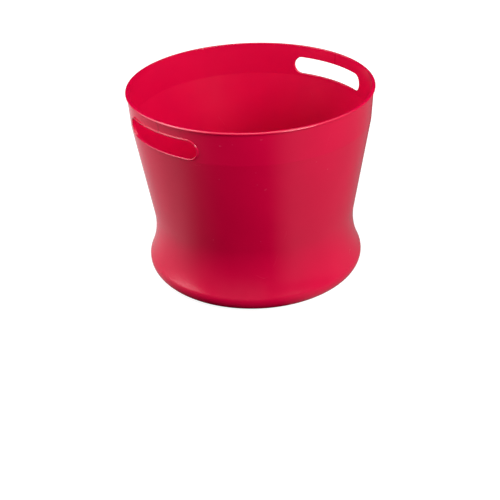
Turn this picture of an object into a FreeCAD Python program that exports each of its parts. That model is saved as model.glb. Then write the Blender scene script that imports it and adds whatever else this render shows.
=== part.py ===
# Beer bucket: a round plastic moulding with two hand slots in an upright band under its rim.
# Millimetres, +Z up. The origin is on the table, at the middle of the base.
# The hand slots face -X and +X. The one moulding is divided along its own form lines.
import FreeCAD, Part
import os
from FreeCAD import Placement, Rotation, Vector
from Sketcher import Constraint

# Driving dimensions
sizes = {
    "bucket_height": 225.2,     # table to the top of the rim bead
    "rim_radius": 140.5,        # outer edge of the rim bead
    "wall": 2.0,                # thickness of the moulding
    "bead_proud": 1.6,          # how far the bead stands out from the band
    "bead_height": 2.5,         # top of the bead to the top edge of the band
    "bead_round": 1.4,          # rounding of the bead's outer top edge
    "bead_inner_round": 0.5,    # rounding of its inner top edge, with a flat land between them
    "bead_under_round": 0.8,    # rounding of its outer lower edge
    "band_height": 37.7,        # top of the bead down to the crease
    "band_taper": 1.8,          # how far the band draws in from the bead to the crease
    "bulge_radius": 129.4,      # widest part of the base
    "heel_radius": 13.2,        # rounding of the base, from its widest part to the table
    "waist_height": 61.2,       # table to the narrowest part
    "waist_depth": 10.5,        # how far the waist is drawn in from the bulge
    "ring_width": 9.2,          # flat ring that stands on the table
    "floor_lift": 3.0,          # table to the underside of the floor
    "floor_thickness": 2.2,
    "floor_round": 1.0,         # rounding of the floor's upper edge
    "gate_radius": 1.6,         # stub left where the plastic was shot in
    "gate_length": 0.8,
    "rib_count": 8,
    "rib_width": 1.6,
    "rib_clearance": 1.2,       # table to the ribs' lower edge
    "rib_end_gap": 0.3,         # a rib's outer end to the standing ring
    "hub_radius": 16.0,         # middle of the ring that the ribs start from
    "slot_length": 107.0,       # hand slot, end to end
    "slot_opening": 20.6,       # hand slot, top to bottom
    "lip_width": 1.8,           # raised lip round the slot
    "lip_proud": 1.1,           # how far the lip stands out from the band
    "lip_round": 0.7,           # rounding of the lip's outer edges
    "lip_above_crease": 1.0,    # crease to the lower edge of the lip
}

# Dimensions that follow from the driving ones
derived = {
    "band_top": "Sizes.bucket_height - Sizes.bead_height",
    "band_top_radius": "Sizes.rim_radius - Sizes.bead_proud",
    "crease_height": "Sizes.bucket_height - Sizes.band_height",
    "crease_radius": "band_top_radius - Sizes.band_taper",
    "foot_radius": "Sizes.bulge_radius - Sizes.heel_radius",
    "ring_radius": "foot_radius - Sizes.ring_width",
    "groove_radius": "ring_radius + Sizes.wall",
    # hollow of the waist, which runs into the rounding of the base without a corner
    "hollow_rise": "Sizes.waist_height - Sizes.heel_radius",
    "hollow_reach": "Sizes.heel_radius - Sizes.waist_depth",
    "hollow_radius": "(hollow_reach ^ 2 + hollow_rise ^ 2 - Sizes.heel_radius ^ 2)"
                     " / (2 * Sizes.waist_depth)",
    "hollow_centre": "Sizes.bulge_radius - Sizes.waist_depth + hollow_radius",
    "bulge_top": "Sizes.heel_radius * (1 + hollow_rise / (Sizes.heel_radius + hollow_radius))",
    # straight taper, from the crease to where it touches the hollow
    "crease_across": "crease_radius - hollow_centre",
    "crease_rise": "crease_height - Sizes.waist_height",
    "crease_square": "crease_across ^ 2 + crease_rise ^ 2",
    "taper_length": "sqrt(crease_square - hollow_radius ^ 2)",
    "touch_radius": "hollow_centre + hollow_radius"
                    " * (hollow_radius * crease_across - taper_length * crease_rise) / crease_square",
    "touch_height": "Sizes.waist_height + hollow_radius"
                    " * (hollow_radius * crease_rise + taper_length * crease_across) / crease_square",
    "taper_slope": "(crease_radius - touch_radius) / (crease_height - touch_height)",
    # the wall measured level, and what is cut or set in it
    "wall_across": "Sizes.wall * sqrt(1 + taper_slope ^ 2)",
    "band_top_bore": "band_top_radius - wall_across",
    "crease_bore": "crease_radius - wall_across",
    "slot_height": "crease_height + Sizes.lip_above_crease + Sizes.lip_width + Sizes.slot_opening / 2",
    "window_length": "Sizes.slot_length + 2 * Sizes.lip_width",
    "window_opening": "Sizes.slot_opening + 2 * Sizes.lip_width",
    "lip_crease_radius": "crease_radius + Sizes.lip_proud",
    "lip_top_radius": "band_top_radius + Sizes.lip_proud",
    "rib_start": "Sizes.hub_radius",
    "rib_end": "ring_radius - Sizes.rib_end_gap",
}

# A sketch counts an edge's points from 1 up and its own axes from -1 down
start, end, centre = range(1, 4)
upright_axis, level_axis = range(-2, 0)
zero = (level_axis, start)

# The section lies in the YZ plane, so that no seam of a turned face runs through a hand slot
section_plane = Placement(Vector(), Rotation(Vector(0, 1, 0), Vector(0, 0, 1), Vector(1, 0, 0), "XYZ"))
upward = Vector(0, 0, 1)
same_length = 0.001

doc = FreeCAD.newDocument("beer_bucket")


def fill_sheet(name, rows):
    sheet = doc.addObject("Spreadsheet::Sheet", name)
    for row, (alias, content) in enumerate(rows.items(), start=1):
        sheet.set(f"A{row}", alias)
        sheet.set(f"B{row}", content)
        sheet.setAlias(f"B{row}", alias)
    doc.recompute()
    return sheet


size_sheet = fill_sheet("Sizes", {alias: str(number) for alias, number in sizes.items()})
derived_sheet = fill_sheet("Derived", {alias: "=" + formula for alias, formula in derived.items()})


def value(expression):
    return float(size_sheet.evalExpression(expression))


def point(across, up):
    return Vector(value(across), value(up), 0)


# Sketches: lines and arcs are drawn where the sheet puts them, then held there by constraints

def dimension(sketch, kind, places, expression):
    index = sketch.addConstraint(Constraint(kind, *places, value(expression)))
    sketch.setExpression(f"Constraints[{index}]", expression)


def hold(sketch, geometry, spot, across=None, up=None):
    if across:
        dimension(sketch, "DistanceX", (*zero, geometry, spot), across)
    if up:
        dimension(sketch, "DistanceY", (*zero, geometry, spot), up)


def line(sketch, first, last):
    return sketch.addGeometry(Part.LineSegment(first, last), False)


def arc(sketch, middle, first, last):
    # anticlockwise from first to last
    circle = Part.Circle(middle, upward, (first - middle).Length)
    curve = Part.ArcOfCircle(circle, circle.parameter(first), circle.parameter(last))
    return sketch.addGeometry(curve, False)


def join(sketch, kind, first, first_spot, second, second_spot):
    sketch.addConstraint(Constraint(kind, first, first_spot, second, second_spot))


def draw_polygon(sketch, corners):
    # corners: pairs of expressions, across and up, with 0 for one that lies on an axis
    points = [point(*corner) for corner in corners]
    sides = [line(sketch, points[i], points[(i + 1) % len(points)]) for i in range(len(points))]
    for i, (across, up) in enumerate(corners):
        join(sketch, "Coincident", sides[i - 1], end, sides[i], start)
        if across == "0":
            sketch.addConstraint(Constraint("PointOnObject", sides[i], start, upright_axis))
        else:
            hold(sketch, sides[i], start, across=across)
        if up == "0":
            sketch.addConstraint(Constraint("PointOnObject", sides[i], start, level_axis))
        else:
            hold(sketch, sides[i], start, up=up)


def draw_circle(sketch, radius):
    circle = sketch.addGeometry(Part.Circle(Vector(), upward, value(radius)), False)
    join(sketch, "Coincident", circle, centre, *zero)
    dimension(sketch, "Radius", (circle,), radius)


def draw_slot(sketch, length, opening, height):
    # level slot with round ends, centred on the sketch's upright axis
    radius = value(opening) / 2
    reach = value(length) / 2 - radius
    middle = value(height)
    left, right = Vector(-reach, middle, 0), Vector(reach, middle, 0)
    rise = Vector(0, radius, 0)
    top = line(sketch, right + rise, left + rise)
    left_end = arc(sketch, left, left + rise, left - rise)
    bottom = line(sketch, left - rise, right - rise)
    right_end = arc(sketch, right, right - rise, right + rise)
    loop = (top, left_end, bottom, right_end)
    for i, side in enumerate(loop):
        join(sketch, "Tangent", loop[i - 1], end, side, start)
    sketch.addConstraint(Constraint("Horizontal", bottom))
    sketch.addConstraint(Constraint("Symmetric", left_end, centre, right_end, centre, upright_axis))
    dimension(sketch, "Radius", (left_end,), f"({opening}) / 2")
    dimension(sketch, "DistanceX", (left_end, centre, right_end, centre), f"{length} - ({opening})")
    hold(sketch, left_end, centre, up=height)


def body_plane(body, role):
    return next(feature for feature in body.Origin.OriginFeatures if feature.Role == role)


def body_sketch(body, name, role, height=None):
    sketch = body.newObject("Sketcher::SketchObject", name)
    sketch.AttachmentSupport = [(body_plane(body, role), "")]
    sketch.MapMode = "FlatFace"
    if height:
        sketch.setExpression("AttachmentOffset.Base.z", height)
    return sketch


# Features of a body

def pad(body, sketch, length, reverse=False):
    feature = body.newObject("PartDesign::Pad", sketch.Name + "_pad")
    feature.Profile = sketch
    feature.setExpression("Length", length)
    feature.Reversed = reverse
    doc.recompute()
    return feature


def turn(body, kind, sketch):
    feature = body.newObject("PartDesign::" + kind, sketch.Name + "_turned")
    feature.Profile = sketch
    feature.ReferenceAxis = (sketch, ["V_Axis"])
    feature.Angle = 360
    doc.recompute()


def groove(body, sketch):
    before = body.Shape.Volume
    turn(body, "Groove", sketch)
    if body.Shape.Volume > before - same_length:
        raise RuntimeError(f"{sketch.Name} cuts nothing")


def round_edges(body, name, chosen, radius):
    rounded = body.Tip
    names = [f"Edge{i}" for i, edge in enumerate(rounded.Shape.Edges, start=1) if chosen(edge)]
    if not names:
        raise RuntimeError(f"{name} finds no edge")
    feature = body.newObject("PartDesign::Fillet", name)
    feature.Base = (rounded, names)
    feature.setExpression("Radius", radius)
    doc.recompute()


def edge_points(edge):
    first, last = edge.ParameterRange
    return [edge.valueAt(first + (last - first) * share) for share in (0.0, 0.25, 0.5, 0.75, 1.0)]


# The wall is one cross-section, turned once

def draw_wall_section():
    sketch = doc.addObject("Sketcher::SketchObject", "wall_section")
    sketch.Placement = section_plane

    heel = point("Derived.foot_radius", "Sizes.heel_radius")
    hollow = point("Derived.hollow_centre", "Sizes.waist_height")
    touch = point("Derived.touch_radius", "Derived.touch_height")
    inward = (touch - hollow).normalize()
    outward = (hollow - heel).normalize()
    wall_thickness = value("Sizes.wall")

    # outside, from the standing ring up to the rim
    ring_top = point("Derived.ring_radius", "Sizes.floor_lift")
    ring_foot = point("Derived.ring_radius", "0")
    heel_foot = point("Derived.foot_radius", "0")
    bulge_end = heel + outward * value("Sizes.heel_radius")
    crease = point("Derived.crease_radius", "Derived.crease_height")
    band_edge = point("Derived.band_top_radius", "Derived.band_top")
    # inside, from the rim down to the groove round the floor
    band_bore = point("Derived.band_top_bore", "Derived.band_top")
    crease_bore = point("Derived.crease_bore", "Derived.crease_height")
    touch_bore = touch + inward * wall_thickness
    bulge_bore = bulge_end - outward * wall_thickness
    heel_bore = point("Derived.foot_radius", "Sizes.wall")
    groove_foot = point("Derived.groove_radius", "Sizes.wall")
    groove_top = point("Derived.groove_radius", "Sizes.floor_lift")

    ring_inside = line(sketch, ring_top, ring_foot)
    standing_face = line(sketch, ring_foot, heel_foot)
    bulge = arc(sketch, heel, heel_foot, bulge_end)
    waist = arc(sketch, hollow, touch, bulge_end)
    taper = line(sketch, touch, crease)
    band = line(sketch, crease, band_edge)
    rim_seat = line(sketch, band_edge, band_bore)
    band_inside = line(sketch, band_bore, crease_bore)
    taper_inside = line(sketch, crease_bore, touch_bore)
    waist_inside = arc(sketch, hollow, touch_bore, bulge_bore)
    bulge_inside = arc(sketch, heel, heel_bore, bulge_bore)
    groove_floor = line(sketch, heel_bore, groove_foot)
    groove_side = line(sketch, groove_foot, groove_top)
    floor_seat = line(sketch, groove_top, ring_top)

    corners = [
        (ring_inside, end, standing_face, start),
        (taper, end, band, start),
        (band, end, rim_seat, start),
        (rim_seat, end, band_inside, start),
        (band_inside, end, taper_inside, start),
        (groove_floor, end, groove_side, start),
        (groove_side, end, floor_seat, start),
        (floor_seat, end, ring_inside, start),
        (waist_inside, centre, waist, centre),
        (bulge_inside, centre, bulge, centre),
    ]
    smooth_joints = [
        (standing_face, end, bulge, start),
        (bulge, end, waist, end),
        (waist, start, taper, start),
        (taper_inside, end, waist_inside, start),
        (waist_inside, end, bulge_inside, end),
        (bulge_inside, start, groove_floor, start),
    ]
    for corner in corners:
        join(sketch, "Coincident", *corner)
    for joint in smooth_joints:
        join(sketch, "Tangent", *joint)
    for level in (standing_face, rim_seat, groove_floor, floor_seat):
        sketch.addConstraint(Constraint("Horizontal", level))
    for upright in (ring_inside, groove_side):
        sketch.addConstraint(Constraint("Vertical", upright))
    sketch.addConstraint(Constraint("PointOnObject", ring_inside, end, level_axis))

    hold(sketch, ring_inside, start, across="Derived.ring_radius", up="Sizes.floor_lift")
    hold(sketch, bulge, centre, across="Derived.foot_radius")
    dimension(sketch, "Radius", (bulge,), "Sizes.heel_radius")
    hold(sketch, waist, centre, across="Derived.hollow_centre")
    dimension(sketch, "Radius", (waist,), "Derived.hollow_radius")
    hold(sketch, band, start, across="Derived.crease_radius", up="Derived.crease_height")
    hold(sketch, band, end, across="Derived.band_top_radius", up="Derived.band_top")
    hold(sketch, band_inside, start, across="Derived.band_top_bore")
    hold(sketch, band_inside, end, across="Derived.crease_bore", up="Derived.crease_height")
    dimension(sketch, "Radius", (bulge_inside,), "Sizes.heel_radius - Sizes.wall")
    hold(sketch, groove_floor, end, across="Derived.groove_radius")
    return sketch


def turn_wall():
    wall = doc.addObject("Part::Revolution", "wall_turned")
    wall.Source = draw_wall_section()
    wall.Axis = upward
    wall.Angle = 360
    wall.Solid = True
    return wall


def wall_region(wall, name, bottom, top):
    layer = doc.addObject("Part::Cylinder", name + "_layer")
    layer.setExpression("Radius", "Sizes.rim_radius + Sizes.bulge_radius")
    layer.setExpression("Height", f"{top} - {bottom}")
    layer.setExpression("Placement.Base.z", bottom)
    region = doc.addObject("Part::Common", name)
    region.Base = wall
    region.Tool = layer
    return region


def cut_windows(band):
    # both hand slots with room for their lips, in one cut along X
    shape = doc.addObject("Sketcher::SketchObject", "window_outline")
    shape.Placement = section_plane
    draw_slot(shape, "Derived.window_length", "Derived.window_opening", "Derived.slot_height")
    cutter = doc.addObject("Part::Extrusion", "window_cutter")
    cutter.Base = shape
    cutter.DirMode = "Normal"
    cutter.Symmetric = True
    cutter.Solid = True
    cutter.setExpression("LengthFwd", "4 * Sizes.rim_radius")
    windows = doc.addObject("Part::Cut", "handle_band")
    windows.Base = band
    windows.Tool = cutter
    return windows


# Separate forms that sit on the wall

def rim_bead():
    body = doc.addObject("PartDesign::Body", "rim_bead")
    sketch = body_sketch(body, "bead_section", "YZ_Plane")
    inner, outer = value("Derived.band_top_bore"), value("Sizes.rim_radius")
    low, high = value("Derived.band_top"), value("Sizes.bucket_height")
    crown = value("Sizes.bead_round")
    inner_crown = value("Sizes.bead_inner_round")
    under = value("Sizes.bead_under_round")

    def rounded(middle_across, middle_up, radius, first, last):
        middle = Vector(middle_across, middle_up, 0)
        return arc(sketch, middle, middle + first * radius, middle + last * radius)

    right, left = Vector(1, 0, 0), Vector(-1, 0, 0)
    up, down = Vector(0, 1, 0), Vector(0, -1, 0)
    underside = line(sketch, Vector(inner, low, 0), Vector(outer - under, low, 0))
    under_arc = rounded(outer - under, low + under, under, down, right)
    outside = line(sketch, Vector(outer, low + under, 0), Vector(outer, high - crown, 0))
    crown_arc = rounded(outer - crown, high - crown, crown, right, up)
    land = line(sketch, Vector(outer - crown, high, 0), Vector(inner + inner_crown, high, 0))
    inner_arc = rounded(inner + inner_crown, high - inner_crown, inner_crown, up, left)
    inside = line(sketch, Vector(inner, high - inner_crown, 0), Vector(inner, low, 0))

    loop = (underside, under_arc, outside, crown_arc, land, inner_arc, inside)
    for i in range(1, len(loop)):
        join(sketch, "Tangent", loop[i - 1], end, loop[i], start)
    join(sketch, "Coincident", inside, end, underside, start)
    for level in (underside, land):
        sketch.addConstraint(Constraint("Horizontal", level))
    for upright in (outside, inside):
        sketch.addConstraint(Constraint("Vertical", upright))
    dimension(sketch, "Radius", (under_arc,), "Sizes.bead_under_round")
    dimension(sketch, "Radius", (crown_arc,), "Sizes.bead_round")
    dimension(sketch, "Radius", (inner_arc,), "Sizes.bead_inner_round")
    hold(sketch, underside, start, "Derived.band_top_bore", "Derived.band_top")
    hold(sketch, outside, start, across="Sizes.rim_radius")
    hold(sketch, land, start, up="Sizes.bucket_height")
    turn(body, "Revolution", sketch)
    return body


def grip_lip(name, faces_left):
    # a slot-shaped ring along X, trimmed to the band's bore and to a cone that stands proud of it
    body = doc.addObject("PartDesign::Body", name)
    ring = body_sketch(body, name + "_ring", "YZ_Plane")
    draw_slot(ring, "Derived.window_length", "Derived.window_opening", "Derived.slot_height")
    draw_slot(ring, "Sizes.slot_length", "Sizes.slot_opening", "Derived.slot_height")
    pad(body, ring, "2 * Sizes.rim_radius", reverse=faces_left)

    bore = body_sketch(body, name + "_bore", "YZ_Plane")
    draw_polygon(bore, [
        ("0", "Derived.crease_height"),
        ("Derived.crease_bore", "Derived.crease_height"),
        ("Derived.band_top_bore", "Derived.band_top"),
        ("0", "Derived.band_top"),
    ])
    groove(body, bore)

    face = body_sketch(body, name + "_face", "YZ_Plane")
    draw_polygon(face, [
        ("Derived.lip_crease_radius", "Derived.crease_height"),
        ("3 * Sizes.rim_radius", "Derived.crease_height"),
        ("3 * Sizes.rim_radius", "Derived.band_top"),
        ("Derived.lip_top_radius", "Derived.band_top"),
    ])
    groove(body, face)

    def on_face(edge):
        rise = value("Derived.band_top - Derived.crease_height")
        slope = value("Sizes.band_taper") / rise
        base = value("Derived.lip_crease_radius")
        low = value("Derived.crease_height")
        return all(abs(spot.x ** 2 + spot.y ** 2 - (base + slope * (spot.z - low)) ** 2) < same_length * base
                   for spot in edge_points(edge))

    round_edges(body, name + "_rounding", on_face, "Sizes.lip_round")
    return body


def floor_panel():
    body = doc.addObject("PartDesign::Body", "floor_panel")
    disc = body_sketch(body, "floor_disc", "XY_Plane", "Sizes.floor_lift")
    draw_circle(disc, "Derived.groove_radius")
    pad(body, disc, "Sizes.floor_thickness")
    stub = body_sketch(body, "gate_stub", "XY_Plane", "Sizes.floor_lift")
    draw_circle(stub, "Sizes.gate_radius")
    pad(body, stub, "Sizes.gate_length", reverse=True)

    top = value("Sizes.floor_lift + Sizes.floor_thickness")

    def on_top(edge):
        return edge.Closed and all(abs(spot.z - top) < same_length for spot in edge_points(edge))

    round_edges(body, "floor_rounding", on_top, "Sizes.floor_round")
    return body


def base_ribs():
    body = doc.addObject("PartDesign::Body", "base_ribs")
    hub = body_sketch(body, "rib_hub", "XY_Plane", "Sizes.rib_clearance")
    draw_circle(hub, "Sizes.hub_radius + Sizes.rib_width / 2")
    draw_circle(hub, "Sizes.hub_radius - Sizes.rib_width / 2")
    pad(body, hub, "Sizes.floor_lift - Sizes.rib_clearance")
    rib = body_sketch(body, "rib", "XY_Plane", "Sizes.rib_clearance")
    draw_polygon(rib, [
        ("Derived.rib_start", "-Sizes.rib_width / 2"),
        ("Derived.rib_end", "-Sizes.rib_width / 2"),
        ("Derived.rib_end", "Sizes.rib_width / 2"),
        ("Derived.rib_start", "Sizes.rib_width / 2"),
    ])
    one_rib = pad(body, rib, "Sizes.floor_lift - Sizes.rib_clearance")
    ribs = body.newObject("PartDesign::PolarPattern", "ribs")
    ribs.Originals = [one_rib]
    ribs.Axis = (hub, ["N_Axis"])
    ribs.Angle = 360
    ribs.setExpression("Occurrences", "Sizes.rib_count")
    body.Tip = ribs
    return body


wall = turn_wall()
nodes = {
    "rim_bead": rim_bead(),
    "handle_band": cut_windows(wall_region(wall, "band_ring", "Derived.crease_height", "Derived.band_top")),
    "grip_lip_left": grip_lip("grip_lip_left", faces_left=True),
    "grip_lip_right": grip_lip("grip_lip_right", faces_left=False),
    "side_wall": wall_region(wall, "side_wall", "Derived.touch_height", "Derived.crease_height"),
    "waist": wall_region(wall, "waist", "Derived.bulge_top", "Derived.touch_height"),
    "base_bulge": wall_region(wall, "base_bulge", "0", "Derived.bulge_top"),
    "floor_panel": floor_panel(),
    "base_ribs": base_ribs(),
}
doc.recompute()

for item in doc.Objects:
    if "Invalid" in item.State or "Error" in item.State:
        raise RuntimeError(f"{item.Name} failed: {item.State}")
    if item.isDerivedFrom("Sketcher::SketchObject") and not item.FullyConstrained:
        raise RuntimeError(f"{item.Name} isn't held by its constraints")

os.makedirs("parts", exist_ok=True)
for name, node in nodes.items():
    node.Label = name
    shape = node.Shape
    if shape.isNull() or not shape.isValid() or len(shape.Solids) != 1:
        raise RuntimeError(f"{name} isn't one valid solid")
    shape.exportStep(f"parts/{name}.step")
    print(f"{name}: {shape.Volume / 1000:.1f} cm3, {len(shape.Faces)} faces")
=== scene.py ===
import math
import bpy
import numpy as np
from mathutils import Matrix, Vector


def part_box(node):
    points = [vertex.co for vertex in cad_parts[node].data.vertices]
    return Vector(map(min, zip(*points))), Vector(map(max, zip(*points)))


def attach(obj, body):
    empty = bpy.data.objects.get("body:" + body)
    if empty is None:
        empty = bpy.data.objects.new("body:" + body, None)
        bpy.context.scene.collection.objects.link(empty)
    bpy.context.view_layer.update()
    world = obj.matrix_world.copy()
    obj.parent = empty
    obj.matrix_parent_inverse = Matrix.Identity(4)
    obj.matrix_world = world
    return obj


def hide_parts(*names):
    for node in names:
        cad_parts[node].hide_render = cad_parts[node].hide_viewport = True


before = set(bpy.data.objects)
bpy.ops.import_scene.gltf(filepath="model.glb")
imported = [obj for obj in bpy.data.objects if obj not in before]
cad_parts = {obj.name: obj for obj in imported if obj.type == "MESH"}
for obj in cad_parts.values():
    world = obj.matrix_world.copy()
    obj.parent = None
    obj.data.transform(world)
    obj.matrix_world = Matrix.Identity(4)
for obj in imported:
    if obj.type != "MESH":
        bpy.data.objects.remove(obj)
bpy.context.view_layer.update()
scene = bpy.context.scene
scene.view_settings.view_transform = "Standard"
print("frame loaded:", ", ".join(sorted(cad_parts)))

mm = 0.001
samePlace = 0.001 * mm            # points nearer than this are one

# What the frame gives: heights and radii of the moulding
rimLow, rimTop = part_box("rim_bead")
bandLow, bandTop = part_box("handle_band")
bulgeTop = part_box("base_bulge")[1]
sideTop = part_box("side_wall")[1]
floorLow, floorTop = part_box("floor_panel")
lipLow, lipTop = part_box("grip_lip_right")
rimRadius = min(rimTop.x, rimTop.y, -rimLow.x, -rimLow.y)

moulding = {
    "wall": 2.0 * mm,             # thickness of the moulding
    "heelRadius": 13.2 * mm,      # base, from its widest part to the table
    "waistHeight": 61.2 * mm,
    "waistDepth": 10.5 * mm,      # waist, drawn in from the bulge
    "ringWidth": 9.2 * mm,        # flat ring that the bucket stands on
    "creaseSoftness": 7.0 * mm,   # radius that turns the taper into the band
}

# faces round the bucket, up its straight and wide stretches, and along its rounds
faceCount = {
    "columns": 288,
    "band": 12,
    "taper": 20,
    "waist": 24,
    "heel": 18,
    "innerHeel": 14,
    "floor": 14,
    "underside": 12,
    "ring": 4,
    "crease": 4,
    "gate": 2,
    "smallRound": 3,
    "round": 4,
    "beadUnder": 5,
    "beadOuter": 8,
    "beadInner": 5,
    "lipRound": 7,
}

bead = {
    "outerRound": 1.4 * mm,
    "innerRound": 0.5 * mm,
    "underRound": 0.8 * mm,
    "seatFillet": 0.3 * mm,       # under the bead, where it meets the band
}

floorPan = {
    "topRound": 1.0 * mm,
    "grooveFillet": 0.5 * mm,
    "ringFillet": 0.8 * mm,
    "ringEdge": 0.4 * mm,
    "lift": 3.0 * mm,             # table to the underside of the floor
    "gateRadius": 1.6 * mm,
    "gateRound": 0.3 * mm,
}

grip = {
    "lipWidth": 1.8 * mm,
    "lipRound": 0.7 * mm,
    "lipFillet": 0.3 * mm,        # foot of the lip on the band
    "insideRound": 0.4 * mm,      # edge of the slot inside the bucket
    "panelColumns": 23,           # half the width of the patch round a slot, in columns
    "panelRings": (0.12, 0.35, 0.65),   # rings between the lip and the edge of the patch
    "insideBox": 0.01 * mm,       # lip kept inside the solid's box
}

guide = 10 * mm                   # length of the guide lines beside a corner
bandMargin = 0.05 * mm            # between the eased crease and the band's rows


# A profile is a list of stations: a point, its outward normal, and the region that starts there

def station(profile, region, point, normal):
    if profile and (profile[-1][0] - point).length < samePlace:
        point, normal = profile[-1][0], (profile[-1][1] + normal).normalized()
        profile.pop()
    profile.append((point, normal, region))


def straight(profile, region, start, end, steps=1):
    start, end = Vector(start), Vector(end)
    along = end - start
    normal = Vector((along.y, -along.x)).normalized()
    for k in range(steps + 1):
        station(profile, region, start + along * k / steps, normal)


def turn(profile, region, centre, radius, first, last, steps, hollow=False):
    # first and last in degrees; the normal points to the centre where the form is hollow
    for k in range(steps + 1):
        angle = math.radians(first + (last - first) * k / steps)
        outward = Vector((math.cos(angle), math.sin(angle)))
        station(profile, region, Vector(centre) + outward * radius, -outward if hollow else outward)


def angleOf(vector):
    return math.degrees(math.atan2(vector.y, vector.x))


def wallForm():
    m = moulding
    heel = Vector((bulgeTop.y - m["heelRadius"], m["heelRadius"]))
    rise, reach = m["waistHeight"] - heel.y, m["heelRadius"] - m["waistDepth"]
    hollowRadius = (reach ** 2 + rise ** 2 - m["heelRadius"] ** 2) / (2 * m["waistDepth"])
    hollow = Vector((bulgeTop.y - m["waistDepth"] + hollowRadius, m["waistHeight"]))
    crease = Vector((sideTop.y, bandLow.z))
    away = crease - hollow
    # the taper touches the hollow's circle
    lengthOfTaper = math.sqrt(away.length_squared - hollowRadius ** 2)
    side = Vector((-away.y, away.x))
    touch = hollow + (away * hollowRadius + side * lengthOfTaper) * hollowRadius / away.length_squared
    slope = (crease.x - touch.x) / (crease.y - touch.y)
    across = m["wall"] * math.sqrt(1 + slope ** 2)
    return {
        "heel": heel, "hollow": hollow, "hollowRadius": hollowRadius, "crease": crease,
        "touch": touch, "slope": slope, "across": across,
        "bandSlope": (bandTop.y - crease.x) / (bandTop.z - crease.y),
        "ringRadius": heel.x - m["ringWidth"],
    }


form = wallForm()


def bandRadius(height):
    return form["crease"].x + form["bandSlope"] * (height - form["crease"].y)


def outsideRadius(height):
    # radius of the waist, the taper or the band at a height
    if height > form["crease"].y:
        return bandRadius(height)
    if height > form["touch"].y:
        return form["crease"].x - form["slope"] * (form["crease"].y - height)
    rise = height - form["hollow"].y
    return form["hollow"].x - math.sqrt(form["hollowRadius"] ** 2 - rise ** 2)


def corner(point, before, after, radius):
    # centre and both ends of an arc that rounds the corner at point
    toBefore = (Vector(before) - Vector(point)).normalized()
    toAfter = (Vector(after) - Vector(point)).normalized()
    half = toBefore.angle(toAfter) / 2
    reach = radius / math.tan(half)
    centre = Vector(point) + (toBefore + toAfter).normalized() * radius / math.sin(half)
    return centre, Vector(point) + toBefore * reach, Vector(point) + toAfter * reach


def softCrease(inner):
    # the shallow corner between taper and band, eased by a short arc
    inset = form["across"] if inner else 0
    crease = form["crease"] - Vector((inset, 0))
    below = Vector((crease.x - form["slope"] * guide, crease.y - guide))
    above = Vector((crease.x + form["bandSlope"] * guide, crease.y + guide))
    return corner(crease, below, above, moulding["creaseSoftness"])


def beadSeat():
    # the fillet where the band meets the underside of the bead
    seat = Vector((bandRadius(bandTop.z), bandTop.z))
    below = Vector((bandRadius(bandTop.z - guide), bandTop.z - guide))
    return corner(seat, below, seat + Vector((guide, 0)), bead["seatFillet"])


# rows up the band, from the eased crease to the fillet under the bead
rows = np.linspace(softCrease(False)[2].y + bandMargin, beadSeat()[1].y, faceCount["band"] + 1)


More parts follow.
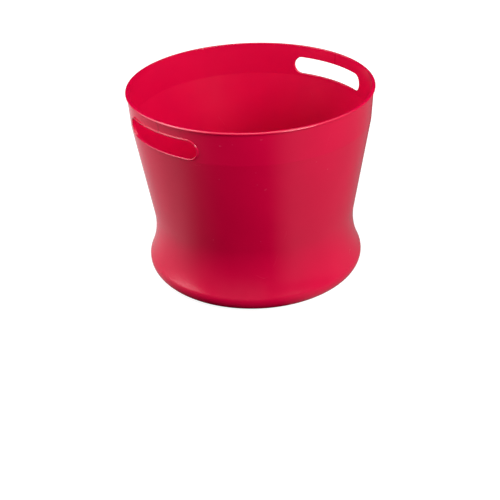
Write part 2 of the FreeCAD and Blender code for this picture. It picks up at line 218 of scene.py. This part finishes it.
def shellProfile():
    # once round the section: underside, outside, bead, inside, floor
    p, f, m, b, n = [], floorPan, moulding, bead, faceCount
    heel, hollow, touch = form["heel"], form["hollow"], form["touch"]
    ring, under, wall, across = form["ringRadius"], f["lift"], m["wall"], form["across"]

    # stub and underside of the floor
    gate, gateLow, soft = f["gateRadius"], floorLow.z, f["gateRound"]
    straight(p, "floorPanel", (0, gateLow), (gate - soft, gateLow), n["gate"])
    turn(p, "floorPanel", (gate - soft, gateLow + soft), soft, -90, 0, n["smallRound"])
    turn(p, "floorPanel", (gate + soft, under - soft), soft, 180, 90, n["smallRound"], True)
    straight(p, "floorPanel", (gate + soft, under), (ring - f["ringFillet"], under), n["underside"])

    # standing ring, heel, waist and taper
    soft = f["ringFillet"]
    turn(p, "baseBulge", (ring - soft, under - soft), soft, 90, 0, n["round"], True)
    soft = f["ringEdge"]
    turn(p, "baseBulge", (ring + soft, soft), soft, 180, 270, n["smallRound"])
    straight(p, "baseBulge", (ring + soft, 0), (heel.x, 0), n["ring"])
    bulgeTurn = angleOf(hollow - heel)
    turn(p, "baseBulge", heel, m["heelRadius"], -90, bulgeTurn, n["heel"])
    hollowStart, hollowEnd = bulgeTurn + 180, angleOf(touch - hollow) % 360
    turn(p, "waistWall", hollow, form["hollowRadius"], hollowStart, hollowEnd, n["waist"], True)
    centre, low, high = softCrease(False)
    straight(p, "sideWall", touch, low, n["taper"])
    first, last = angleOf(low - centre), angleOf(high - centre)
    turn(p, "sideWall", centre, m["creaseSoftness"], first, last, n["crease"])

    # band, with rows that the patches round the slots share
    foot, head = (bandRadius(rows[0]), rows[0]), (bandRadius(rows[-1]), rows[-1])
    straight(p, "handleBand", high, foot)
    outerRows = len(p) - 1
    straight(p, "handleBand", foot, head, n["band"])

    # bead
    centre, low, high = beadSeat()
    first, last = angleOf(low - centre) % 360, angleOf(high - centre)
    turn(p, "rimBead", centre, b["seatFillet"], first, last, n["smallRound"], True)
    rim, top, seat, bore = rimRadius, rimTop.z, bandTop.z, bandRadius(bandTop.z) - across
    soft = b["underRound"]
    turn(p, "rimBead", (rim - soft, seat + soft), soft, -90, 0, n["beadUnder"])
    soft = b["outerRound"]
    turn(p, "rimBead", (rim - soft, top - soft), soft, 0, 90, n["beadOuter"])
    soft = b["innerRound"]
    turn(p, "rimBead", (bore + soft, top - soft), soft, 90, 180, n["beadInner"])

    # inside of the band, taper, waist and heel
    foot, head = (foot[0] - across, foot[1]), (head[0] - across, head[1])
    straight(p, "handleBand", (bore, seat), head)
    innerRows = len(p) - 1
    straight(p, "handleBand", head, foot, n["band"])
    centre, low, high = softCrease(True)
    straight(p, "handleBand", foot, high)
    first, last = angleOf(high - centre), angleOf(low - centre)
    turn(p, "sideWall", centre, m["creaseSoftness"], first, last, n["crease"], True)
    innerTouch = hollow + (touch - hollow) * (1 + wall / form["hollowRadius"])
    straight(p, "sideWall", low, innerTouch, n["taper"])
    turn(p, "waistWall", hollow, form["hollowRadius"] + wall, hollowEnd, hollowStart, n["waist"])
    turn(p, "baseBulge", heel, m["heelRadius"] - wall, bulgeTurn, -90, n["innerHeel"], True)

    # groove round the floor, and the floor
    groove, top, soft = ring + wall, floorTop.z, f["grooveFillet"]
    turn(p, "baseBulge", (groove + soft, wall + soft), soft, 270, 180, n["smallRound"], True)
    soft = f["topRound"]
    turn(p, "floorPanel", (groove - soft, top - soft), soft, 0, 90, n["round"])
    straight(p, "floorPanel", (groove - soft, top), (0, top), n["floor"])
    return p, outerRows, innerRows


# Round each slot the faces follow the slot's outline, as a patch of closed rings

def onBand(across, height, proud):
    # point of the band's outer cone, or proud of it, on the +X side
    radius = bandRadius(height) + proud
    return Vector((math.sqrt(radius ** 2 - across ** 2), across, height))


def bandNormal(point):
    return Vector((point.x, point.y, -form["bandSlope"] * math.hypot(point.x, point.y))).normalized()


def slotShape():
    g = grip
    height = (lipLow.z + lipTop.z) / 2
    radius = (lipTop.z - lipLow.z) / 2 - g["lipWidth"]
    # the lip stands proudest where its top round starts, highest up the leaning band
    proudest = bandRadius(lipTop.z - g["lipRound"])
    return {"height": height, "radius": radius, "reach": lipTop.y - g["lipWidth"] - radius,
            "lipProud": lipTop.x - proudest - g["insideBox"]}


slot = slotShape()


def slotStarts(border):
    # for each border point, the middle and direction from which its ray leaves the slot
    starts = []
    ends = {sign: [i for i, (y, z) in enumerate(border) if y * sign > slot["reach"]] for sign in (1, -1)}
    for i, (y, z) in enumerate(border):
        if abs(y) <= slot["reach"]:
            starts.append(((y, slot["height"]), (0, 1 if z > slot["height"] else -1)))
            continue
        sign = 1 if y > 0 else -1
        members = sorted(ends[sign], key=lambda k: -math.atan2(border[k][1] - slot["height"],
                                                               abs(border[k][0]) - slot["reach"]))
        share = (members.index(i) + 0.5) / len(members)
        angle = math.radians(90 - 180 * share)
        starts.append(((sign * slot["reach"], slot["height"]), (sign * math.cos(angle), math.sin(angle))))
    return starts


def lipSection():
    # across the lip, from inside the bucket to the band outside: offset, proud, normal
    g, n, wall = grip, faceCount, -form["across"]
    section = [(g["lipWidth"], wall, 0, -1), (g["lipWidth"] / 2, wall, 0, -1)]

    def bend(offset, proud, radius, first, last, steps, hollow=False):
        for k in range(steps + 1):
            angle = math.radians(first + (last - first) * k / steps)
            c, s = math.cos(angle), math.sin(angle)
            flip = -1 if hollow else 1
            section.append((offset + radius * c, proud + radius * s, flip * c, flip * s))

    soft = g["insideRound"]
    bend(soft, wall + soft, soft, 270, 180, n["round"])
    section.append((0, wall / 2, -1, 0))
    soft = g["lipRound"]
    bend(soft, slot["lipProud"] - soft, soft, 180, 90, n["lipRound"])
    bend(g["lipWidth"] - soft, slot["lipProud"] - soft, soft, 90, 0, n["lipRound"])
    soft = g["lipFillet"]
    bend(g["lipWidth"] + soft, soft, soft, 180, 270, n["round"], True)
    return section


def slotPoint(start, offset, proud):
    (y, z), (dy, dz) = start
    reach = slot["radius"] + offset
    return onBand(y + dy * reach, z + dz * reach, proud)


def slotNormal(start, offset, proud, normal):
    # square to the ring and to the section, both measured on the bent surface
    (y, z), (dy, dz) = start
    small = 10 * samePlace
    turned = ((y - dz * small, z + dy * small), (dy, dz))
    along = slotPoint(turned, offset, proud) - slotPoint(start, offset, proud)
    acrossStep, proudStep = -normal[1] * small, normal[0] * small
    over = slotPoint(start, offset + acrossStep, proud + proudStep) - slotPoint(start, offset, proud)
    square = along.cross(over).normalized()
    outward = Vector((normal[1], normal[0] * dy, normal[0] * dz))
    return square if square.dot(outward) > 0 else -square


def slotPatch(addVertex, addFace, side, outerLoop, innerLoop, border):
    # outerLoop and innerLoop: the shell's own vertices round the patch
    lip = "gripLipRight" if side > 0 else "gripLipLeft"
    spin = Matrix.Rotation(0 if side > 0 else math.pi, 3, "Z")
    starts = slotStarts(border)
    section = lipSection()
    rings, regions = [innerLoop], []

    def bandRing(share, offset, proud, inner):
        ring = []
        for start, (y, z) in zip(starts, border):
            edge = slotPoint(start, offset, proud)
            scale = (bandRadius(z) + proud) / bandRadius(z)
            point = onBand(edge.y + (y * scale - edge.y) * share, edge.z + (z - edge.z) * share, proud)
            normal = bandNormal(point) * (-1 if inner else 1)
            ring.append(addVertex(spin @ point, spin @ normal))
        return ring

    for share in reversed(grip["panelRings"]):
        rings.append(bandRing(share, section[0][0], section[0][1], True))
        regions.append("handleBand")
    regions.append("handleBand")
    for offset, proud, *normal in section:
        rings.append([addVertex(spin @ slotPoint(start, offset, proud),
                                spin @ slotNormal(start, offset, proud, normal)) for start in starts])
        regions.append(lip)
    regions[-1] = "handleBand"
    for share in grip["panelRings"]:
        rings.append(bandRing(share, section[-1][0], section[-1][1], False))
        regions.append("handleBand")
    rings.append(outerLoop)
    for k, region in enumerate(regions):
        low, high = rings[k], rings[k + 1]
        for i in range(len(low)):
            after = (i + 1) % len(low)
            addFace((low[i], low[after], high[after], high[i]), region)


def buildShell():
    profile, outerRows, innerRows = shellProfile()
    columns, count = faceCount["columns"], faceCount["band"]
    vertices, normals, faces, regions = [], [], [], []

    def addVertex(point, normal):
        vertices.append(point)
        normals.append(normal)
        return len(vertices) - 1

    def addFace(corners, region):
        faces.append(corners)
        regions.append(region)

    grid = []
    for point, normal, region in profile:
        if point.x < samePlace:
            pole = addVertex(Vector((0, 0, point.y)), Vector((0, 0, math.copysign(1, normal.y))))
            grid.append([pole] * columns)
            continue
        row = []
        for j in range(columns):
            angle = 2 * math.pi * j / columns
            c, s = math.cos(angle), math.sin(angle)
            row.append(addVertex(Vector((point.x * c, point.x * s, point.y)),
                                 Vector((normal.x * c, normal.x * s, normal.y))))
        grid.append(row)

    half = grip["panelColumns"]
    slotColumns = {(c + k) % columns for c in (0, columns // 2) for k in range(-half, half)}
    slotRows = set(range(outerRows, outerRows + count)) | set(range(innerRows, innerRows + count))
    for i in range(len(profile) - 1):
        for j in range(columns):
            if i in slotRows and j in slotColumns:
                continue
            after = (j + 1) % columns
            corners = (grid[i][j], grid[i][after], grid[i + 1][after], grid[i + 1][j])
            addFace(tuple(dict.fromkeys(corners)), profile[i][2])

    # the border of a patch, once round: column from the slot's middle, row up the band
    loop = [(c, count) for c in range(-half, half)] + [(half, r) for r in range(count, 0, -1)]
    loop += [(c, 0) for c in range(half, -half, -1)] + [(-half, r) for r in range(0, count)]
    border = [(bandRadius(rows[r]) * math.sin(2 * math.pi * c / columns), rows[r]) for c, r in loop]
    for side, middle in ((1, 0), (-1, columns // 2)):
        outerLoop = [grid[outerRows + r][(middle + c) % columns] for c, r in loop]
        innerLoop = [grid[innerRows + count - r][(middle + c) % columns] for c, r in loop]
        slotPatch(addVertex, addFace, side, outerLoop, innerLoop, border)

    # every face looks the way its corners' normals do
    for k, corners in enumerate(faces):
        a, b, c = (vertices[v] for v in corners[:3])
        facing = sum((normals[v] for v in corners), Vector((0, 0, 0)))
        if (b - a).cross(c - a).dot(facing) < 0:
            faces[k] = corners[::-1]
    return vertices, normals, faces, regions


print("profile ready")


# Red plastic, coloured through, semi-gloss from a lightly grained mould

redPlastic = {
    "colour": (0.63, 0.0005, 0.0435, 1),
    "deepColour": (0.605, 0.0005, 0.0415, 1),
    "roughLow": 0.215,
    "roughHigh": 0.265,
    "index": 1.49,
    "grainSize": 0.7 * mm,
    "grainDepth": 0.012 * mm,
    "speckleSize": 1.7 * mm,
    "speckleDepth": 0.014 * mm,
    "cloudSize": 45 * mm,         # slow changes of shade, gloss and flatness
    "cloudDepth": 0.10 * mm,
    "cloudEnds": (0.3, 0.7),      # stretch of the noise that the changes use
    "cloudShare": 0.6,            # share of the clouds in the gloss, the rest from the streaks
    "streakWidth": 5 * mm,        # flow of the plastic up the mould
    "streakStretch": 0.04,
    "streakDepth": 0.012 * mm,
}

# bead and lips, smoother from the polished edge of the mould
edgePlastic = dict(redPlastic, roughLow=0.14, roughHigh=0.19, grainDepth=0.006 * mm, speckleDepth=0.006 * mm)

# where the plastic met in the mould, above each slot; it leans a little from one side to the other
weld = {
    "offset": 5.7 * mm,
    "lean": 0.0059,
    "width": 0.9 * mm,
    "depth": 0.05 * mm,
    "foot": 1.5 * mm,             # how far below the lip's top it fades in
    "colour": (0.36, 0.0, 0.018, 1),
}

scratch = {
    "size": 60 * mm,
    "stretch": 0.5,
    "level": 0.5,                 # height of the noise at which its contour lines are drawn
    "width": 0.0016,              # in shares of the noise's height
    "breaks": (0.50, 0.62),       # stretch of another noise over which the lines fade in
    "rough": 0.03,
}

# the ring that the bucket stands on, rubbed dull in patches
rubbing = {
    "full": 0.4 * mm,             # height above the table up to which it is full, and where it ends
    "end": 2.5 * mm,
    "patch": 6 * mm,
    "patchEnds": (0.4, 0.6),
    "least": 0.3,
    "rough": 0.15,
    "colour": (0.66, 0.035, 0.09, 1),
}

# pale flecks and scuffs on the outside: turn about the bucket in degrees, height and reach in mm
fleckPlaces = [
    (213.5, 210, 0.40), (214.0, 210, 0.35), (219.0, 212, 0.30), (231.0, 217, 0.40), (231.5, 217, 0.35),
    (212.0, 170, 0.35), (228.5, 179, 0.30), (229.0, 164, 0.35), (232.5, 157, 0.50), (233.0, 158, 0.40),
    (263.5, 167, 0.50), (256.5, 181, 0.30), (205.0, 88, 0.40), (230.0, 89, 0.40),
]
fleck = {"colour": (0.65, 0.03, 0.08, 1), "soft": 0.6 * mm}


def addNode(tree, kind, **values):
    node = tree.nodes.new(kind)
    for name, value in values.items():
        if name in node.inputs:
            node.inputs[name].default_value = value
        else:
            setattr(node, name, value)
    return node


def noiseAt(tree, place, size, detail=2):
    noise = addNode(tree, "ShaderNodeTexNoise", Scale=1 / size, Detail=detail)
    tree.links.new(place, noise.inputs["Vector"])
    return noise.outputs["Fac"]


def spread(tree, value, low, high, start=0, end=1):
    # eases from start to end while the value goes from low to high
    ramp = addNode(tree, "ShaderNodeMapRange", interpolation_type="SMOOTHSTEP")
    for name, number in (("From Min", low), ("From Max", high), ("To Min", start), ("To Max", end)):
        ramp.inputs[name].default_value = number
    tree.links.new(value, ramp.inputs["Value"])
    return ramp.outputs["Result"]


def compute(tree, operation, first, second=0):
    node = addNode(tree, "ShaderNodeMath", operation=operation)
    for socket, value in zip(node.inputs, (first, second)):
        if isinstance(value, (int, float)):
            socket.default_value = value
        else:
            tree.links.new(value, socket)
    return node.outputs[0]


def reshape(tree, operation, first, second=(0, 0, 0)):
    node = addNode(tree, "ShaderNodeVectorMath", operation=operation)
    for socket, value in zip(node.inputs, (first, second)):
        if isinstance(value, tuple):
            socket.default_value = value
        else:
            tree.links.new(value, socket)
    return node.outputs["Value" if operation in ("DISTANCE", "LENGTH") else "Vector"]


def blend(tree, share, base, colour):
    mix = addNode(tree, "ShaderNodeMix", data_type="RGBA")
    tree.links.new(share, mix.inputs["Factor"])
    if isinstance(base, tuple):
        mix.inputs["A"].default_value = base
    else:
        tree.links.new(base, mix.inputs["A"])
    mix.inputs["B"].default_value = colour
    return mix.outputs["Result"]


def bump(tree, height, depth, after=None):
    node = addNode(tree, "ShaderNodeBump", Strength=1.0, Distance=depth)
    tree.links.new(height, node.inputs["Height"])
    if after:
        tree.links.new(after, node.inputs["Normal"])
    return node.outputs["Normal"]


def unrolled(tree, place, stretch):
    # turn about the axis, and height, shortened so that a noise runs up the wall
    turned = reshape(tree, "NORMALIZE", reshape(tree, "MULTIPLY", place, (1, 1, 0)))
    radius = bulgeTop.y
    return reshape(tree, "ADD", reshape(tree, "MULTIPLY", turned, (radius, radius, 0)),
                   reshape(tree, "MULTIPLY", place, (0, 0, stretch)))


def makeFlecks(tree, place):
    marks = None
    for turnAbout, height, reach in fleckPlaces:
        around, up = math.radians(turnAbout), height * mm
        radius = outsideRadius(up)
        spot = (radius * math.cos(around), radius * math.sin(around), up)
        away = reshape(tree, "DISTANCE", place, spot)
        mark = spread(tree, away, reach * mm, reach * mm + fleck["soft"], 1, 0)
        marks = compute(tree, "MAXIMUM", marks, mark) if marks else mark
    return marks


def makeWeld(tree, sides):
    # a thin line up the bar over each slot
    leaning = compute(tree, "MULTIPLY", sides["X"], weld["lean"])
    offset = compute(tree, "ADD", sides["Y"], weld["offset"])
    offset = compute(tree, "ABSOLUTE", compute(tree, "SUBTRACT", offset, leaning))
    line = spread(tree, offset, 0, weld["width"], 1, 0)
    return compute(tree, "MULTIPLY", line, spread(tree, sides["Z"], lipTop.z - weld["foot"], lipTop.z))


def makeScratches(tree, place):
    # contour lines of a noise, broken up by another
    along = unrolled(tree, place, scratch["stretch"])
    lines = compute(tree, "SUBTRACT", noiseAt(tree, along, scratch["size"], 0), scratch["level"])
    thin = spread(tree, compute(tree, "ABSOLUTE", lines), 0, scratch["width"], 1, 0)
    broken = spread(tree, noiseAt(tree, place, scratch["size"] / 2), *scratch["breaks"])
    return compute(tree, "MULTIPLY", thin, broken)


def makeRubbing(tree, place, height):
    low = spread(tree, height, rubbing["full"], rubbing["end"], 1, 0)
    noise = noiseAt(tree, place, rubbing["patch"])
    patches = spread(tree, noise, *rubbing["patchEnds"], rubbing["least"], 1)
    return compute(tree, "MULTIPLY", low, patches)


def makeRedPlastic(name, look):
    material = bpy.data.materials.new(name)
    material.use_nodes = True
    tree = material.node_tree
    shader = tree.nodes["Principled BSDF"]
    shader.inputs["IOR"].default_value = look["index"]
    place = addNode(tree, "ShaderNodeTexCoord").outputs["Object"]
    split = addNode(tree, "ShaderNodeSeparateXYZ")
    tree.links.new(place, split.inputs[0])

    cloud = noiseAt(tree, place, look["cloudSize"], 3)
    streaks = noiseAt(tree, unrolled(tree, place, look["streakStretch"]), look["streakWidth"])
    scratches = makeScratches(tree, place)
    weldLine = makeWeld(tree, split.outputs)
    rubbed = makeRubbing(tree, place, split.outputs["Z"])

    colour = blend(tree, spread(tree, cloud, *look["cloudEnds"]), look["deepColour"], look["colour"])
    colour = blend(tree, makeFlecks(tree, place), colour, fleck["colour"])
    colour = blend(tree, rubbed, colour, rubbing["colour"])
    colour = blend(tree, weldLine, colour, weld["colour"])
    tree.links.new(colour, shader.inputs["Base Color"])

    share = look["cloudShare"]
    mixed = compute(tree, "ADD", compute(tree, "MULTIPLY", cloud, share),
                    compute(tree, "MULTIPLY", streaks, 1 - share))
    gloss = spread(tree, mixed, *look["cloudEnds"], look["roughLow"], look["roughHigh"])
    dull = compute(tree, "ADD", compute(tree, "MULTIPLY", scratches, scratch["rough"]),
                   compute(tree, "MULTIPLY", rubbed, rubbing["rough"]))
    tree.links.new(compute(tree, "ADD", gloss, dull), shader.inputs["Roughness"])

    relief = bump(tree, cloud, look["cloudDepth"])
    relief = bump(tree, streaks, look["streakDepth"], relief)
    relief = bump(tree, noiseAt(tree, place, look["speckleSize"], 1), look["speckleDepth"], relief)
    relief = bump(tree, noiseAt(tree, place, look["grainSize"]), look["grainDepth"], relief)
    relief = bump(tree, compute(tree, "SUBTRACT", 0, weldLine), weld["depth"], relief)
    tree.links.new(relief, shader.inputs["Normal"])
    return material


plastic = makeRedPlastic("redPlastic", redPlastic)
edge = makeRedPlastic("edgePlastic", edgePlastic)
print("plastic ready")


# Pieces: one for each region of the moulding, cut from one closed shell

regionNodes = {
    "rimBead": "rim_bead",
    "handleBand": "handle_band",
    "gripLipLeft": "grip_lip_left",
    "gripLipRight": "grip_lip_right",
    "sideWall": "side_wall",
    "waistWall": "waist",
    "baseBulge": "base_bulge",
    "floorPanel": "floor_panel",
}
polished = ("rimBead", "gripLipLeft", "gripLipRight")


def makePiece(name, shell):
    vertices, normals, faces, regions = shell
    own = [corners for corners, region in zip(faces, regions) if region == name]
    used = sorted({v for corners in own for v in corners})
    place = {v: k for k, v in enumerate(used)}
    mesh = bpy.data.meshes.new(name)
    mesh.from_pydata([vertices[v] for v in used], [], [[place[v] for v in corners] for corners in own])
    mesh.shade_smooth()
    mesh.normals_split_custom_set_from_vertices([normals[v] for v in used])
    mesh.materials.append(edge if name in polished else plastic)
    piece = bpy.data.objects.new(name, mesh)
    scene.collection.objects.link(piece)
    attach(piece, "root")
    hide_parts(regionNodes[name])
    return piece


shell = buildShell()
for name in regionNodes:
    piece = makePiece(name, shell)
    print(name, len(piece.data.polygons), "faces")

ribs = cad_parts["base_ribs"]
ribs.data.materials.clear()
ribs.data.materials.append(plastic)


# Camera at the photograph's place, turned a little about its own axis

camera = {
    "place": (-0.69640, -0.75600, 0.61625),
    "aim": (-0.00533, 0.00484, 0.00665),
    "lens": 69.26,
    "sensor": 36,
    "roll": 2.202,
    "reach": (0.01, 30),          # nearest and farthest that it sees
}


def makeCamera():
    data = bpy.data.cameras.new("camera")
    data.lens = camera["lens"]
    data.sensor_width = camera["sensor"]
    data.clip_start, data.clip_end = camera["reach"]
    eye = bpy.data.objects.new("camera", data)
    scene.collection.objects.link(eye)
    place = Vector(camera["place"])
    look = (Vector(camera["aim"]) - place).to_track_quat("-Z", "Y")
    spin = Matrix.Rotation(math.radians(-camera["roll"]), 4, "Z")
    eye.matrix_world = Matrix.Translation(place) @ look.to_matrix().to_4x4() @ spin
    scene.camera = eye


makeCamera()


# Studio: a table that the camera sees white with the bucket's shadow on it, and soft lamps

studio = {
    "floorReach": 6.0,                      # from its middle to its edges
    "floorDrop": 0.05 * mm,                 # keeps the table's face apart from the ring that stands on it
    "shadeColour": (0.30, 0.30, 0.30, 1),   # share of the table's light that a shadow takes away
    "nearGlow": 0.86,                       # the rest of its light, by the bucket and farther out
    "farGlow": 1.0,
    "nearReach": 0.25,                      # where the change between the two starts and ends
    "farReach": 0.60,
    "lampDistance": 1.6,                    # from the middle of the bucket
}

# Light of the table on the bucket: turn about the bucket from +X in degrees, and brightness,
# with a straight change from each to the next
tableLight = {
    -180: 0.10, -160: 0, -120: 0,                            # dark towards the camera
    -100: 0.35, -80: 0.30, -40: 0.25, 0: 0.30, 20: 0,        # on the right
    40: 0.05, 60: 0.05,                                      # nearly dark behind
    80: 0.90, 100: 0.55, 120: 0.45, 160: 0.45, 180: 0.10,    # on the left
}

# Turn about the bucket from +X and height above the table, both in degrees, width in metres,
# watts, and what the lamp shows in: the colour, the gloss or both. The last two draw the
# lines of light on the bead and the lips.
lamps = {
    "keyLamp": (270, 32, 0.8, 23, "both"),
    "topLamp": (0, 84, 0.8, 6, "both"),
    "leftTopLamp": (135, 56, 0.8, 8, "both"),
    "leftLamp": (150, 32, 0.8, 5, "both"),
    "leftLowLamp": (120, 8, 1.6, 27, "colour"),
    "frontLowLamp": (210, 8, 1.6, 7, "colour"),
    "rightLowLamp": (330, 8, 1.6, 14, "colour"),
    "ceiling": (0, 90, 3.6, 60, "gloss"),
    "leftPanel": (145, 32, 2.2, 36, "gloss"),
}


def makeFloor():
    mesh = bpy.data.meshes.new("studioFloor")
    reach = studio["floorReach"]
    mesh.from_pydata([(-reach, -reach, 0), (reach, -reach, 0), (reach, reach, 0), (-reach, reach, 0)], [],
                     [(0, 1, 2, 3)])
    material = bpy.data.materials.new("studioFloor")
    material.use_nodes = True
    tree = material.node_tree
    tree.nodes.remove(tree.nodes["Principled BSDF"])
    place = addNode(tree, "ShaderNodeTexCoord").outputs["Object"]

    # seen by the camera: white, darker only where the bucket shades it
    shaded = addNode(tree, "ShaderNodeBsdfDiffuse", Color=studio["shadeColour"])
    glow = addNode(tree, "ShaderNodeEmission")
    strength = spread(tree, reshape(tree, "LENGTH", place), studio["nearReach"], studio["farReach"],
                      studio["nearGlow"], studio["farGlow"])
    tree.links.new(strength, glow.inputs["Strength"])
    seen = addNode(tree, "ShaderNodeAddShader")
    tree.links.new(shaded.outputs[0], seen.inputs[0])
    tree.links.new(glow.outputs[0], seen.inputs[1])

    # what it gives the bucket
    around = addNode(tree, "ShaderNodeTexGradient", gradient_type="RADIAL")
    tree.links.new(place, around.inputs["Vector"])
    bands = addNode(tree, "ShaderNodeValToRGB")
    stops = bands.color_ramp.elements
    for turnAbout in list(tableLight)[1:-1]:
        stops.new(0.5 + turnAbout / 360)
    for stop, bright in zip(stops, tableLight.values()):
        stop.color = (bright, bright, bright, 1)
    tree.links.new(around.outputs["Fac"], bands.inputs["Fac"])
    given = addNode(tree, "ShaderNodeEmission", Strength=1.0)
    tree.links.new(bands.outputs["Color"], given.inputs["Color"])

    choice = addNode(tree, "ShaderNodeMixShader")
    tree.links.new(addNode(tree, "ShaderNodeLightPath").outputs["Is Camera Ray"], choice.inputs[0])
    tree.links.new(given.outputs[0], choice.inputs[1])
    tree.links.new(seen.outputs[0], choice.inputs[2])
    tree.links.new(choice.outputs[0], tree.nodes["Material Output"].inputs["Surface"])
    mesh.materials.append(material)
    floor = bpy.data.objects.new("studioFloor", mesh)
    floor.location.z = -studio["floorDrop"]
    scene.collection.objects.link(floor)


def makeWorld():
    world = bpy.data.worlds.new("studioWorld")
    world.use_nodes = True
    tree = world.node_tree
    white = tree.nodes["Background"]
    white.inputs["Color"].default_value = (1, 1, 1, 1)
    tree.links.new(addNode(tree, "ShaderNodeLightPath").outputs["Is Camera Ray"], white.inputs["Strength"])
    scene.world = world


def makeLamp(name, turnAbout, height, width, power, showsIn):
    data = bpy.data.lights.new(name, "AREA")
    data.shape = "DISK"
    data.size = width
    data.energy = power
    lamp = bpy.data.objects.new(name, data)
    lamp.visible_diffuse = showsIn != "gloss"
    lamp.visible_glossy = showsIn != "colour"
    scene.collection.objects.link(lamp)
    around, up = math.radians(turnAbout), math.radians(height)
    away = Vector((math.cos(around) * math.cos(up), math.sin(around) * math.cos(up), math.sin(up)))
    lamp.location = Vector((0, 0, rimTop.z / 2)) + away * studio["lampDistance"]
    lamp.rotation_euler = away.to_track_quat("Z", "Y").to_euler()


makeFloor()
makeWorld()
for name, values in lamps.items():
    makeLamp(name, *values)
print("studio ready")
